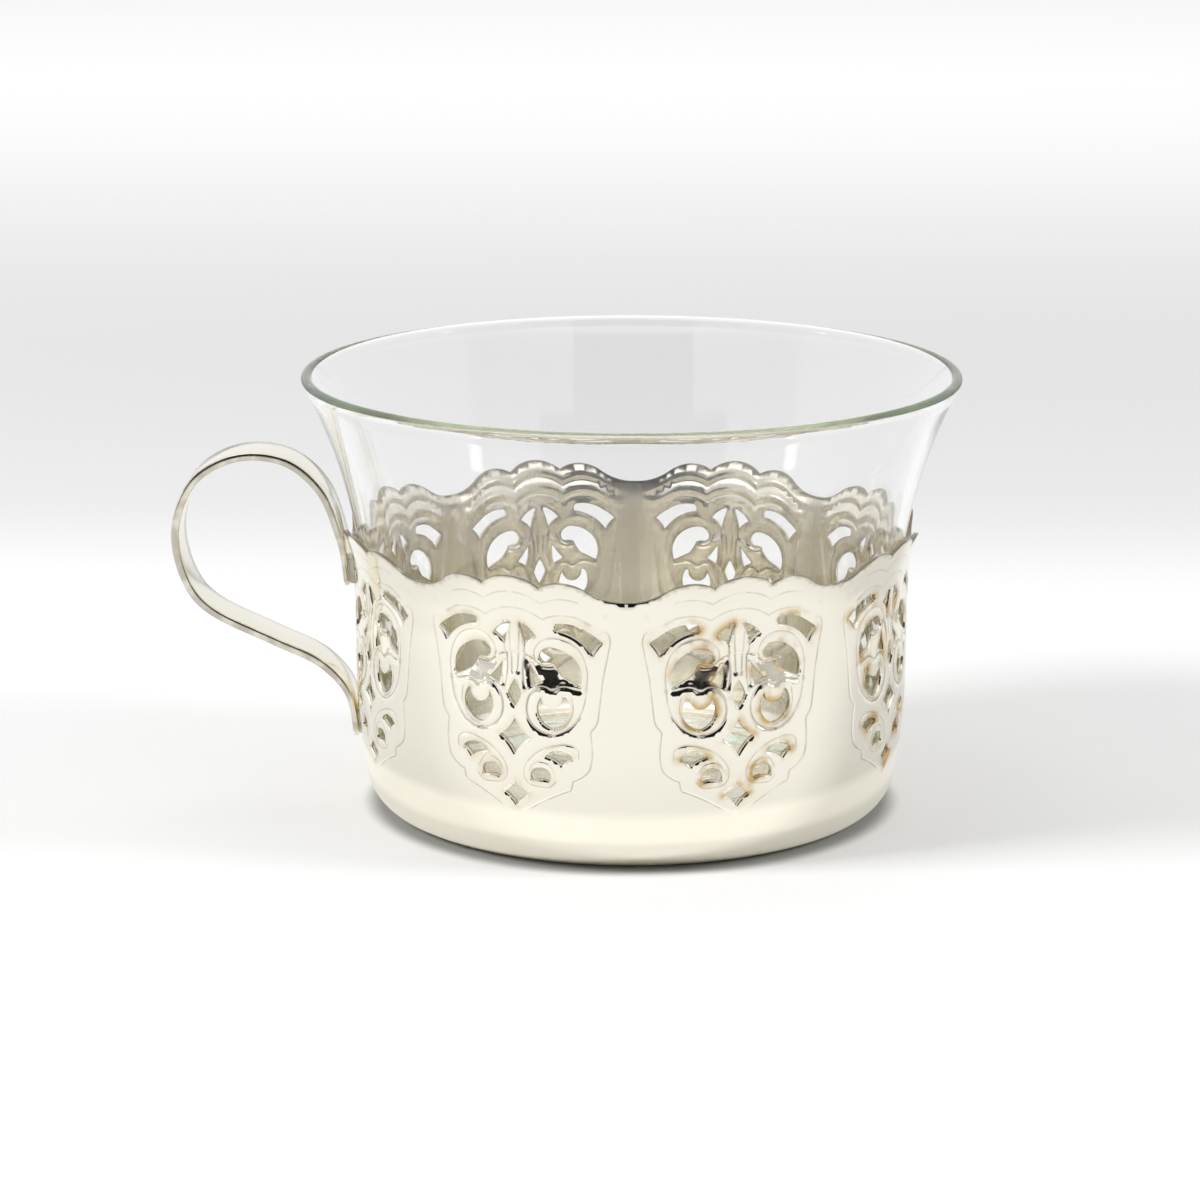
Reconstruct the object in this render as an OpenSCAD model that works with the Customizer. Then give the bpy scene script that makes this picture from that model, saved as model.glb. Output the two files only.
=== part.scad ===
// Podstakannik: a pierced sheet holder with a strap handle, and the glass that stands in it.
// The origin is on the holder's axis in the plane of its foot. +Z is up, and the handle is towards -X.

/* [Holder shell] */
// Outside diameter of the wall at mid height
shell_d = 76; // [72:1:80]
// Height of the crown's highest lobes over the table
shell_h = 40.4; // [38:0.2:43]
// Thickness of the sheet
sheet_t = 0.7; // [0.5:0.05:0.9]
// How far the flat ring that the holder stands on keeps inside the wall
foot_inset = 6; // [4.5:0.5:8]
// Width of that flat ring
foot_w = 1.6; // [1:0.1:2.5]
// How far the bottom is pushed up inside the ring
foot_recess = 0.8; // [0.5:0.1:1.5]
// How far the lip leans out of the wall
lip_flare = 2.4; // [1.6:0.1:3]
// How far each panel's cartouche stands proud of the wall
cartouche_t = 0.35; // [0.2:0.05:0.5]
// Number of pierced panels round the wall
panels = 8; // [6:1:10]

/* [Handle] */
// Width of the strap
strap_w = 8; // [6:0.5:10]
// Thickness of the strap along its free run
strap_t = 1.2; // [1:0.1:1.5]
// Thickness of the strap's two flattened ends
pad_t = 0.8; // [0.6:0.1:1]
// Distance from the wall to the strap's outermost point
handle_reach = 25.1; // [20:0.5:30]
// Height of the strap's highest point over the table
handle_top = 49.5; // [47:0.5:54]
// Height of the strap's lower end over the table
handle_foot = 9.3; // [8:0.2:11]
// Rounding of the strap's long edges
strap_edge = 0.25; // [0.15:0.05:0.3]
// Length of each flattened end
pad_l = 3.5; // [3:0.1:4.5]
// Thickness of the solder under the flattened ends
solder_t = 0.2; // [0.15:0.05:0.3]
// How far the solder keeps clear of the cartouches beside it
solder_inset = 0.2; // [0.1:0.05:0.4]

/* [Glass] */
// How far the rim flares out from the straight wall
rim_flare = 8.1; // [6:0.1:9]
// Height of the rim over the holder's crown
rim_rise = 20.1; // [18:0.5:26]
// Thickness of the wall
glass_wall = 1.4; // [1.1:0.1:2]
// Thickness of the bottom
glass_base = 3.5; // [2.5:0.1:5]
// Width of the ring that the glass stands on
glass_foot_w = 4; // [2:0.5:6]
// How far the bottom is hollowed inside that ring
glass_hollow = 0.6; // [0.3:0.1:1]
// How far that ring keeps inside the holder's raised bottom
glass_foot_inset = 1; // [0.5:0.1:2]
// Clearance between the glass and the holder's wall
glass_gap = 0.4; // [0.3:0.05:0.8]
// Clearance between the glass and the holder's bottom
seat_gap = 0.1; // [0.05:0.05:0.3]

/* [Hidden] */

// Facets of the round shapes, of the solder's thin hollow and of each arc in an outline
$fn = 96;
solder_fn = 720;
arc_steps = 4;
// Cuts run past what they cut by this much
overrun = 1;

shell_r = shell_d / 2;
foot_r = shell_r - foot_inset;
lip_r = shell_r + lip_flare;
pitch = 360 / panels;

// Every panel is drawn on a grid with so many columns to its half width, across flats, and so many rows to the
// shell's height. A point of an outline is a column, a row, and the bulge of the edge to the next point, as a
// share of half that edge: above 0 it swells to the right of the way, below 0 to the left.
cells = [15, 40];
grid = [shell_r * sin(pitch / 2) / cells[0], shell_h / cells[1]];

// Windows on the right half of a panel, each with a twin on the left half
eyebrow_shares = [[5.8, 32.7, -0.22], [10.6, 29.9, -0.15], [12, 31.5, 0.05], [10.2, 32.8, 0.2], [6, 33.7, 0.4]];
fan_shares = [[1.45, 30.5, -0.15], [3.15, 31.9, 0.15], [0.9, 33.5, 0.5], [0.6, 33.2, -0.05]];
scroll_shares = [[9.1, 25.4, 0.32], [8.2, 29.3, 0.16], [5.35, 30.5, 0.38], [3.5, 29.3, 0.3], [4.2, 28.4, -0.1],
    [5.55, 28.3, 0.1], [6.7, 26.6, 0]];
dart_shares = [[2.35, 25.1, 0], [3.8, 25.9, -0.05], [2.05, 28, 0.1]];
crescent_shares = [[3.85, 23.9, 0.53], [5.15, 19.65, 0.62], [7.2, 24, 0.3], [6.8, 23.95, -1.1]];
fishtail_shares = [[4.3, 15.9, -0.12], [6.7, 14.75, -0.15], [8.1, 16, 0.5]];
kidney_shares = [[2.4, 12.5, -0.25], [4.85, 12.5, 0.65], [3.6, 14.35, 0.65]];

// Windows on a panel's middle line, and the outlines of its cartouche and crown: their right halves, going up
spindle_shares = [[0, 22.2, 0.1], [1, 24, 0.1], [0, 25.9, 0]];
star_shares = [[0, 15.9, -0.15], [2.25, 18.3, -0.15], [0, 20.7, 0]];
drop_shares = [[0, 8.9, -0.1], [1.7, 10.55, -0.1], [0, 12.1, 0]];
cartouche_shares = [[0, 7.9, 0], [2.5, 8.9, 0], [7.8, 11.5, 0], [8.1, 12.8, 0.15], [10.3, 14.3, 0.1],
    [10.7, 17.4, 0], [10.5, 19.6, 0.2], [11.5, 21.3, 0], [12.1, 26.6, 0], [12.9, 30.7, 0.2], [12.8, 32.6, 0.2],
    [10.9, 34, 0.25], [4.2, 34.6, 0.1], [0, 35.7, 0]];
valley_share = 36.8;
crown_shares = [[0, 34, 0], [15.5, 34, 0], [15.5, 36.5, -0.18], [10.6, 38.2, 0.3], [4.15, 38.6, 0.17],
    [0, cells[1], 0]];

// Outside of the wall above the foot: a share of its radius, a share of its height, and the bulge to the next
wall_shares = [[0.963, 0.111, 0.05], [0.995, 0.347, 0.02], [1, 0.5, 0], [1, 0.73, -0.13]];
foot_bulge_share = 0.32;

// Middle line of the strap between its flattened ends: a share of the handle's reach, a share of the height
// between the handle's foot and top, and how far its thickness has grown from the ends' to the full one
strap_shares = [[0.080, 0.708, 0.6], [0.167, 0.853, 1], [0.331, 0.954, 1], [0.534, 0.985, 1], [0.733, 0.958, 1],
    [0.894, 0.876, 1], [0.976, 0.721, 1], [0.928, 0.557, 1], [0.789, 0.445, 1], [0.450, 0.340, 1],
    [0.211, 0.269, 1], [0.064, 0.179, 0.6]];
// Where the strap's upper end lies in that height
upper_pad_share = 0.532;

// The glass: bulges of its bottom corner, outside and inside, and of its flare
glass_corner_shares = [0.3, -0.3];
flare_bulge_share = 0.112;

// Points along the arc from a to b, without b
function arc_points(a, b, bulge) = bulge == 0 ? [a] :
    let (turn = 4 * atan(bulge), middle = (a + b) / 2, half = (b - a) / 2, right = [half[1], -half[0]])
    [for (i = [0:arc_steps - 1]) let (t = turn * (i / arc_steps - 1 / 2))
        middle + right * (cos(t) - cos(turn / 2)) / sin(turn / 2) + half * sin(t) / sin(turn / 2)];

// Points of an open outline of [x, y, bulge] rows
function run(rows) = concat(
    [for (i = [0:len(rows) - 2]) each arc_points(xy(rows[i]), xy(rows[i + 1]), rows[i][2])],
    [xy(rows[len(rows) - 1])]);
function closed(rows) = run(concat(rows, [rows[0]]));
function xy(row) = [row[0], row[1]];
function on_grid(rows) = [for (p = rows) [p[0] * grid[0], p[1] * grid[1], p[2]]];
function backwards(points) = [for (i = [len(points) - 1:-1:0]) points[i]];

// The line moved to its left by d, with the corners mitred
function left_of(line, d) = [for (i = [0:len(line) - 1])
    let (a = along(line, max(i, 1)), b = along(line, min(i + 1, len(line) - 1)), n = (a + b) / (1 + a * b))
    line[i] + d * [-n[1], n[0]]];
function along(line, i) = let (v = line[i] - line[i - 1]) v / norm(v);

// A smooth curve through the knots between the first and the last, which only steer its ends
function smooth(knots) = concat(
    [for (i = [1:len(knots) - 3]) for (k = [0:arc_steps - 1]) let (t = k / arc_steps)
        ((2 * knots[i]) + t * (knots[i + 1] - knots[i - 1])
        + t * t * (2 * knots[i - 1] - 5 * knots[i] + 4 * knots[i + 1] - knots[i + 2])
        + t * t * t * (3 * knots[i] - knots[i - 1] - 3 * knots[i + 1] + knots[i + 2])) / 2],
    [knots[len(knots) - 2]]);

// Outside of the holder from the middle of its bottom to its lip
bottom_r = foot_r - foot_w - foot_recess;
shell_line = run(concat(
    [[0, foot_recess, 0], [bottom_r, foot_recess, 0], [foot_r - foot_w, 0, 0], [foot_r, 0, foot_bulge_share]],
    [for (p = wall_shares) [p[0] * shell_r, p[1] * shell_h, p[2]]],
    [[lip_r, shell_h, 0]]));
function wall_r(z) = lookup(z, [for (p = shell_line) if (p[0] >= foot_r) [p[1], p[0]]]);

// The plain seam between two cartouches, which the strap's ends are soldered to
seam_w = 2 * (cells[0] - max([for (p = cartouche_shares) p[0]])) * grid[0];

// Middle line of the strap from its upper end to its lower one, as [x, z, thickness]
handle_h = handle_top - handle_foot;
upper_pad = handle_foot + upper_pad_share * handle_h;
function pad_knot(z, lift) = [-wall_r(z) - lift - pad_t / 2, z, pad_t];
strap_knots = concat(
    [pad_knot(upper_pad, cartouche_t + solder_t), pad_knot(upper_pad + pad_l, cartouche_t + solder_t)],
    [for (p = strap_shares) [-shell_r - p[0] * handle_reach, handle_foot + p[1] * handle_h,
        pad_t + p[2] * (strap_t - pad_t)]],
    [pad_knot(handle_foot + pad_l, solder_t), pad_knot(handle_foot, solder_t)]);
strap_line = concat([strap_knots[0]], smooth(strap_knots), [strap_knots[len(strap_knots) - 1]]);

// Outline of half the glass, up its outside and down its inside
glass_z = foot_recess + sheet_t + seat_gap;
glass_foot_r = bottom_r - glass_foot_inset;
glass_r = shell_r - sheet_t - glass_gap;
knee_z = wall_shares[1][1] * shell_h;
knee_r = wall_r(knee_z) - sheet_t - glass_gap;
flare_z = wall_shares[3][1] * shell_h;
rim_r = glass_r + rim_flare;
rim_z = shell_h + rim_rise - glass_wall / 2;
glass_outline = run([
    [0, glass_z + glass_hollow, 0],
    [glass_foot_r - glass_foot_w - glass_hollow, glass_z + glass_hollow, 0],
    [glass_foot_r - glass_foot_w, glass_z, 0],
    [glass_foot_r, glass_z, glass_corner_shares[0]],
    [knee_r, knee_z, 0],
    [glass_r, flare_z, -flare_bulge_share],
    [rim_r, rim_z, 1],
    [rim_r - glass_wall, rim_z, flare_bulge_share],
    [glass_r - glass_wall, flare_z, 0],
    [knee_r - glass_wall, knee_z, glass_corner_shares[1]],
    [glass_foot_r, glass_z + glass_base, 0],
    [0, glass_z + glass_base, 0]]);

module window_pair(rows)
    for (side = [0, 1]) mirror([side, 0]) polygon(closed(on_grid(rows)));

module mirrored_outline(rows) {
    half = run(on_grid(rows));
    polygon(concat(half, [for (p = backwards(half)) if (p[0] > 0) [-p[0], p[1]]]));
}

module windows() {
    for (rows = [eyebrow_shares, fan_shares, scroll_shares, dart_shares, crescent_shares, fishtail_shares,
                 kidney_shares])
        window_pair(rows);
    for (rows = [spindle_shares, star_shares, drop_shares]) mirrored_outline(rows);
}

// A drawing of one panel, made solid from inside the wall out to beyond the lip, once for every panel
module round_the_wall()
    for (i = [0:panels - 1]) rotate([90, 0, 270 + (i + 0.5) * pitch])
        translate([0, 0, foot_r - overrun])
            linear_extrude(height = lip_r + 2 * overrun - foot_r) children();

module sheet(from, to)
    rotate_extrude() polygon(concat(left_of(shell_line, from), backwards(left_of(shell_line, to))));

module crown_cut()
    difference() {
        translate([0, 0, valley_share * grid[1]]) cylinder(r = lip_r + overrun, h = shell_h);
        round_the_wall() mirrored_outline(crown_shares);
    }

module holder_shell() color("gainsboro")
    difference() {
        union() {
            sheet(0, sheet_t);
            intersection() {
                sheet(-cartouche_t, sheet_t / 2);
                round_the_wall() mirrored_outline(cartouche_shares);
            }
        }
        round_the_wall() windows();
        crown_cut();
    }

// Points of the strap's section of thickness t: across the strap's face, then across its width
function strap_section(t) = [for (k = [0:3]) for (a = [0:45:90])
    let (side = [[1, 1], [-1, 1], [-1, -1], [1, -1]][k])
    [side[0] * (t / 2 - strap_edge) + strap_edge * cos(a + 90 * k),
     side[1] * (strap_w / 2 - strap_edge) + strap_edge * sin(a + 90 * k)]];

module handle_strap() color("gainsboro") {
    n = len(strap_line);
    flat = [for (p = strap_line) xy(p)];
    faces_out = left_of(flat, 1) - flat;
    m = len(strap_section(strap_t));
    polyhedron(
        points = [for (i = [0:n - 1]) for (q = strap_section(strap_line[i][2]))
            [flat[i][0] + q[0] * faces_out[i][0], q[1], flat[i][1] + q[0] * faces_out[i][1]]],
        faces = concat(
            [[for (j = [m - 1:-1:0]) j], [for (j = [0:m - 1]) (n - 1) * m + j]],
            [for (i = [0:n - 2]) for (j = [0:m - 1])
                [i * m + j, i * m + (j + 1) % m, (i + 1) * m + (j + 1) % m, (i + 1) * m + j]]));
}

// Solder between the wall and the flattened end whose middle line runs from knot a to knot b
module solder_joint(a, b) color("silver")
    difference() {
        face = left_of([xy(a), xy(b)], (b[1] > a[1] ? -1 : 1) * pad_t / 2);
        rotate([90, 0, 0]) translate([0, 0, solder_inset - seam_w / 2])
            linear_extrude(height = seam_w - 2 * solder_inset)
                polygon([face[0], face[1], face[1] + [overrun, 0], face[0] + [overrun, 0]]);
        rotate_extrude($fn = solder_fn) polygon(concat(shell_line, [[0, shell_h]]));
    }

module upper_solder_joint() solder_joint(strap_knots[0], strap_knots[1]);
module lower_solder_joint() solder_joint(strap_knots[len(strap_knots) - 1], strap_knots[len(strap_knots) - 2]);

module glass_insert() color("lightcyan", 0.5) rotate_extrude() polygon(glass_outline);

holder_shell();
handle_strap();
upper_solder_joint();
lower_solder_joint();
glass_insert();
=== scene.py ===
# Looks for the podstakannik: its embossed silver-plated holder, its strap handle and its glass.
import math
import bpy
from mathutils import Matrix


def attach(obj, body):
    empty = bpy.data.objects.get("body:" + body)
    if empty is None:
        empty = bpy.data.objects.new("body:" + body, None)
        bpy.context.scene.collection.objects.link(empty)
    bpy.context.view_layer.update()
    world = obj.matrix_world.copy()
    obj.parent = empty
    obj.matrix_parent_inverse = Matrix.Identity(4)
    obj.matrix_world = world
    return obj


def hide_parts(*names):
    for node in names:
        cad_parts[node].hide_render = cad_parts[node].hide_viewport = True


bl_info = {
    "name": "Podstakannik",
    "version": (1, 0, 0),
    "blender": (4, 5, 0),
    "location": "View3D > Sidebar > Podstakannik",
    "description": "Models a pierced tea glass holder, its handle and its glass round the packed frame",
    "category": "Object",
}

import bpy
import numpy as np
from bpy.props import FloatProperty, FloatVectorProperty, IntProperty, PointerProperty
from mathutils import Vector
from mathutils.geometry import delaunay_2d_cdt

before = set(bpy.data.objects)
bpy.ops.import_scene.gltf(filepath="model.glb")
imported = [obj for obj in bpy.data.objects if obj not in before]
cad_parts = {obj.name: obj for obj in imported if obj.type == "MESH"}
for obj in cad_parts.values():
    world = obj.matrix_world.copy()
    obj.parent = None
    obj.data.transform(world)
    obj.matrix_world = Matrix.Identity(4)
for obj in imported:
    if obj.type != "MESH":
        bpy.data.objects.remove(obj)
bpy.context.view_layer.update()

MM = 0.001

# The holder's sizes in mm, as the part's source has them
WALL_R = 38.0
SHELL_H = 40.4
SHEET_T = 0.7
FOOT_R = 32.0
FOOT_W = 1.6
FOOT_RECESS = 0.8
GLASS_GAP = 0.4
PANELS = 8
HALF_TURN = math.pi / PANELS
SEAM = WALL_R * HALF_TURN
HALF_PANEL = WALL_R * math.sin(HALF_TURN)
COLUMN = HALF_PANEL / 15
ROW = SHELL_H / 40
# Heights where the wall leaves the foot's curve, where it is nearly upright, and where it starts to flare
WALL_FOOT = 4.484
BELLY_Z = 14.02
FLARE_Z = 29.5

# Outside of the wall above the foot: height, radius, slope
WALL_KNOTS = [(WALL_FOOT, 36.594, 0.2), (BELLY_Z, 37.81, 0.05), (20.2, WALL_R, 0), (FLARE_Z, WALL_R, 0),
              (SHELL_H, 40.4, 0.5)]

# Outlines on a grid of 30 columns and 40 rows a panel. A point's third number is the bulge of the edge that
# leads to the next point.
WINDOWS = {
    "eyebrow": [(5.8, 32.7, -0.22), (10.6, 29.9, -0.15), (12, 31.5, 0.05), (10.2, 32.8, 0.2), (6, 33.7, 0.4)],
    "fan": [(1.45, 30.5, -0.15), (3.15, 31.9, 0.15), (0.9, 33.5, 0.5), (0.6, 33.2, -0.05)],
    "scroll": [(9.1, 25.4, 0.32), (8.2, 29.3, 0.16), (5.35, 30.5, 0.38), (3.5, 29.3, 0.3), (4.2, 28.4, -0.1),
               (5.55, 28.3, 0.1), (6.7, 26.6, 0)],
    "dart": [(2.35, 25.1, 0), (3.8, 25.9, -0.05), (2.05, 28, 0.1)],
    "crescent": [(3.85, 23.9, 0.53), (5.15, 19.65, 0.62), (7.2, 24, 0.3), (6.8, 23.95, -1.1)],
    "fishtail": [(4.3, 15.9, -0.12), (6.7, 14.75, -0.15), (8.1, 16, 0.5)],
    "kidney": [(2.4, 12.5, -0.25), (4.85, 12.5, 0.65), (3.6, 14.35, 0.65)],
}
# Windows on the panel's middle line, right halves going up
MIDDLE_WINDOWS = {
    "drop": [(0, 8.9, -0.1), (1.7, 10.55, -0.1), (0, 12.1, 0)],
    "star": [(0, 15.9, -0.15), (2.25, 18.3, -0.15), (0, 20.7, 0)],
    "spindle": [(0, 22.2, 0.1), (1, 24, 0.1), (0, 25.9, 0)],
}
CARTOUCHE = [(0, 7.9, 0.1), (2.5, 8.9, -0.05), (7.8, 11.5, 0), (8.1, 12.8, 0.15), (10.3, 14.3, 0.1),
             (10.7, 17.4, 0), (10.5, 19.6, 0.2), (11.5, 21.3, 0), (12.1, 26.6, 0), (12.9, 30.7, 0.2),
             (12.8, 32.6, 0.2), (10.9, 34, 0.25), (4.2, 34.6, 0.1), (0, 35.7, 0)]
CROWN = [(15.6, 36.8, 0), (14.9, 36.8, -0.16), (10.6, 38.2, 0.3), (4.15, 38.6, 0.17), (0, 40, 0)]

# How much painted shade darkens the cut edges into thin dark lines: at their inner corner in a window, at
# both corners along the crown
EDGE_SHADE = 0.9
CROWN_SHADE = 2.2

# Height in mm of each band that follows the crown, and how far from the panel's middle line they have run out
BAND = 2.25
BAND_END = 14.4
# Heights in mm where the cartouche's edge has run out, where the web starts to tilt and how far it goes on,
# and where the valleys start to draw in
CARTOUCHE_END = 34
WEB_START = 24.2 * ROW
WEB_RISE = 4.4
VALLEY_START = 31.5
# The embossed panel, which is finely meshed, ends this far from its middle line
FINE_X = 13.5

# Steps of the foot, the wall and the bottom along one half panel
FOOT_COLUMNS = 14

# Pressed lines on the same grid, each with its depth in shares of the relief and its half width in mm
LINES = [
    # round the scroll, and curling under its eye
    ([(10.0, 25.4), (10.1, 27.3), (9.6, 29.3), (8.5, 30.9), (6.9, 31.7), (5.2, 31.8), (3.8, 31.2),
      (2.95, 30.1), (2.8, 29.2)], 0.35, 0.3),
    ([(2.8, 29.2), (3.2, 28.3), (4.05, 27.8), (4.95, 27.75), (5.7, 28.0)], 1.1, 0.42),
    # heart-shaped line over the crescent, going on down its inner side
    ([(9.0, 25.0), (8.2, 25.15), (7.2, 25.4), (6.3, 25.25), (5.35, 24.75), (4.4, 25.2), (3.3, 25.15),
      (2.5, 24.4), (1.95, 23.4), (1.75, 22.2), (1.95, 21.0), (2.6, 20.0), (3.6, 19.3), (4.6, 19.0),
      (5.3, 18.97)], 1.3, 0.5),
    # egg outside the crescent
    ([(9.9, 24.5), (9.75, 23.4), (9.2, 21.8), (8.2, 20.4), (7.0, 19.5), (5.8, 19.0), (5.0, 18.97)], 0.6, 0.3),
    # ring close round the crescent
    ([(8.05, 23.9), (8.2, 22.3), (7.7, 20.9), (6.7, 19.8), (5.3, 19.3)], 0.6, 0.3),
    # oval round the fishtail and the kidney
    ([(8.9, 16.0), (8.9, 16.9), (8.2, 17.6), (6.9, 17.75), (5.3, 17.4), (3.7, 16.7), (2.2, 15.5),
      (1.35, 14.2), (1.3, 12.9), (2.0, 12.0), (3.4, 11.75), (4.9, 11.8), (5.7, 12.5)], 0.45, 0.3),
    # ring round the kidney
    ([(5.5, 13.9), (4.7, 15.0), (3.5, 15.2), (2.4, 14.6), (1.95, 13.5)], 0.5, 0.26),
    # flutes of the stem
    ([(1.55, 33.4), (1.55, 31.5), (1.4, 29.5), (1.15, 27.6), (1.2, 26.2), (1.5, 24.6)], 1.1, 0.42),
    ([(0.75, 33.6), (0.68, 31), (0.5, 28.8), (0.42, 27.0)], 0.9, 0.4),
]
# Outline of the hollow that tilts up between the stem, the scroll's eye, the dart and the crescent
WEB = [(0, 29.8), (1.4, 29.6), (2.6, 29.3), (3.3, 28.6), (4.2, 28.4), (5.6, 28.6), (6.4, 27.6), (7.0, 26.8),
       (9.3, 25.7), (9.4, 25.1), (7.2, 25.5), (6.3, 25.35), (5.35, 24.85), (4.4, 25.3), (3.3, 25.25),
       (2.4, 24.5), (1.8, 23.2), (1.0, 23.0), (0, 22.4)]


def arc(a, b, bulge, step):
    """Points along an edge from a to b, without b."""
    half = ((b[0] - a[0]) / 2, (b[1] - a[1]) / 2)
    middle = ((a[0] + b[0]) / 2, (a[1] + b[1]) / 2)
    chord = 2 * math.hypot(*half)
    if abs(bulge) < 1e-6:
        count = max(1, round(chord / step))
        return [(a[0] + 2 * half[0] * i / count, a[1] + 2 * half[1] * i / count) for i in range(count)]
    turn = 4 * math.atan(bulge)
    count = max(2, math.ceil(chord * turn / 2 / math.sin(turn / 2) / step))
    points = []
    for i in range(count):
        t = turn * (i / count - 0.5)
        out = (math.cos(t) - math.cos(turn / 2)) / math.sin(turn / 2)
        on = math.sin(t) / math.sin(turn / 2)
        points.append((middle[0] + half[1] * out + half[0] * on, middle[1] - half[0] * out + half[1] * on))
    return points


def both_halves(half):
    """A closed outline from its right half, going up."""
    return [*half, *((-x, y) for x, y in reversed(half))]


def outline(rows, step, closed=False):
    """An outline's points in mm on the flat panel."""
    rows = [(c * COLUMN, r * ROW, bulge) for c, r, bulge in rows]
    ends = rows[1:] + (rows[:1] if closed else [])
    points = [p for a, b in zip(rows, ends) for p in arc(a[:2], b[:2], a[2], step)]
    return points if closed else points + [rows[-1][:2]]


def curve_through(knots, steps):
    """Points of a smooth curve from the second knot to the last but one."""
    line = []
    for before, a, b, after in zip(knots, knots[1:], knots[2:], knots[3:]):
        for t in np.arange(steps) / steps:
            line.append(0.5 * (2 * a + t * (b - before) + t * t * (2 * before - 5 * a + 4 * b - after)
                               + t ** 3 * (3 * a - before - 3 * b + after)))
    return line + [knots[-2]]


def smooth_line(grid_points, steps=5):
    """A smooth curve through points of the grid, in mm."""
    p = np.array(grid_points, float) * (COLUMN, ROW)
    return np.array(curve_through(np.vstack([2 * p[:1] - p[1:2], p, 2 * p[-1:] - p[-2:-1]]), steps))


def wall_radius(z):
    """Outside radius of the plain wall at height z."""
    z = np.asarray(z, float)
    knots = np.array(WALL_KNOTS)
    i = np.clip(np.searchsorted(knots[:, 0], z) - 1, 0, len(knots) - 2)
    a, b = knots[i], knots[i + 1]
    span = b[..., 0] - a[..., 0]
    t = np.clip((z - a[..., 0]) / span, -0.2, 1.2)
    return ((2 * t ** 3 - 3 * t ** 2 + 1) * a[..., 1] + (t ** 3 - 2 * t ** 2 + t) * span * a[..., 2]
            + (3 * t ** 2 - 2 * t ** 3) * b[..., 1] + (t ** 3 - t ** 2) * span * b[..., 2])


def round_wall(points):
    """Flat panel points moved to (arc length at the wall's mean radius, height)."""
    p = np.array(points, float)
    side = np.clip(p[:, 0] / wall_radius(p[:, 1]), -1, math.sin(HALF_TURN))
    return np.column_stack([WALL_R * np.arcsin(side), p[:, 1]])


def off_wall(points):
    """The reverse of round_wall."""
    return np.column_stack([wall_radius(points[:, 1]) * np.sin(points[:, 0] / WALL_R), points[:, 1]])


def distance_to(line, points, closed=False):
    """Distance of each point from a line of points."""
    a = np.asarray(line, float)
    sides = np.roll(a, -1, axis=0) - a
    if not closed:
        a, sides = a[:-1], sides[:-1]
    off = points[:, None] - a[None]
    t = np.clip((off * sides).sum(2) / np.maximum((sides * sides).sum(1), 1e-12), 0, 1)
    return np.sqrt(((off - t[..., None] * sides) ** 2).sum(2).min(1))


def inside(ring, points):
    """Whether each point lies inside a closed outline."""
    a = np.asarray(ring, float)
    b = np.roll(a, -1, axis=0)
    x, y = points[:, :1], points[:, 1:]
    over = (a[:, 1] > y) != (b[:, 1] > y)
    rise = np.where(np.abs(b[:, 1] - a[:, 1]) < 1e-9, 1e-9, b[:, 1] - a[:, 1])
    return (over & (x < (b[:, 0] - a[:, 0]) * (y - a[:, 1]) / rise + a[:, 0])).sum(1) % 2 == 1


def nearest(points, others):
    """Distance of each point from the nearest of the others."""
    return np.concatenate([np.sqrt(((part[:, None] - others[None]) ** 2).sum(2).min(1))
                           for part in np.array_split(points, 8)])


def thinned(points, gap):
    """The points without those that lie closer than gap to an earlier one."""
    kept, cells = [], {}
    for x, y in points:
        cell = (int(x // gap), int(y // gap))
        close = [q for i in (-1, 0, 1) for k in (-1, 0, 1) for q in cells.get((cell[0] + i, cell[1] + k), [])]
        if all(math.hypot(x - q[0], y - q[1]) >= gap for q in close):
            kept.append((x, y))
            cells.setdefault(cell, []).append((x, y))
    return np.array(kept)


def depth_in(ring, points):
    """Distance inside a closed outline, negative outside it."""
    d = distance_to(ring, points, closed=True)
    return np.where(inside(ring, points), d, -d)


def step_up(x, width):
    """A soft step from 0 to 1 while x goes from 0 to width."""
    t = np.clip(x / width, 0, 1)
    return t * t * (3 - 2 * t)


def bump(d, half_width):
    """A rounded bump, 1 on the line and 0 half_width away from it."""
    t = np.clip(d / half_width, 0, 1)
    return (1 - t * t) ** 2


def unit(v):
    """Each vector at length 1."""
    return v / np.maximum(np.linalg.norm(v, axis=-1, keepdims=True), 1e-12)


def leftwards(way):
    """Flat directions, each given a quarter turn to the left."""
    return np.column_stack([-way[:, 1], way[:, 0]])


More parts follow.
